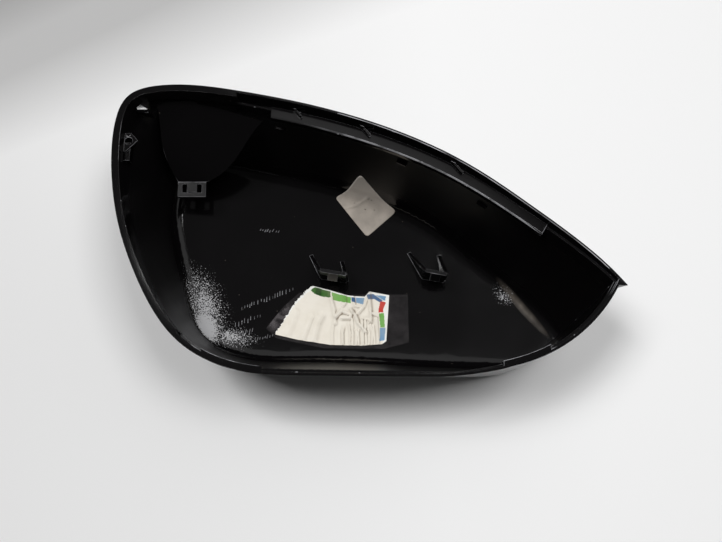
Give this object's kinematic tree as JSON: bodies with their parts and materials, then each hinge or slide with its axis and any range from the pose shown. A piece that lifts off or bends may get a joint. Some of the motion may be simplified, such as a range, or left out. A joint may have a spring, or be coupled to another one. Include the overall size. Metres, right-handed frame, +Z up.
{
  "type": "wing mirror cover",
  "caption": "Deep thin-walled wing mirror cover, rounded at the outer end and pointed at the tip, with a sloping clip tongue, clip towers and a rim ledge inside.",
  "frame": {"origin": "centre of the bounding box at its base, on the flat foot of the belly", "axes": "+X from the outer end to the tip, +Y towards the upper edge, +Z up out of the hollow"},
  "size_m": [0.2303, 0.1349, 0.0601],
  "materials": {
    "shell": "black moulded, glossy with a fine grain inside",
    "grey_label": "satin grey label with a crease",
    "film": "dull clear film over the black floor",
    "torn_label": "white paper-like label, wrinkled and torn, with coloured edge bars"
  },
  "bodies": {
    "root": {"cover_shell": "shell", "grey_label": "grey_label", "label_film": "film", "torn_label": "torn_label"}
  },
  "joints": []
}
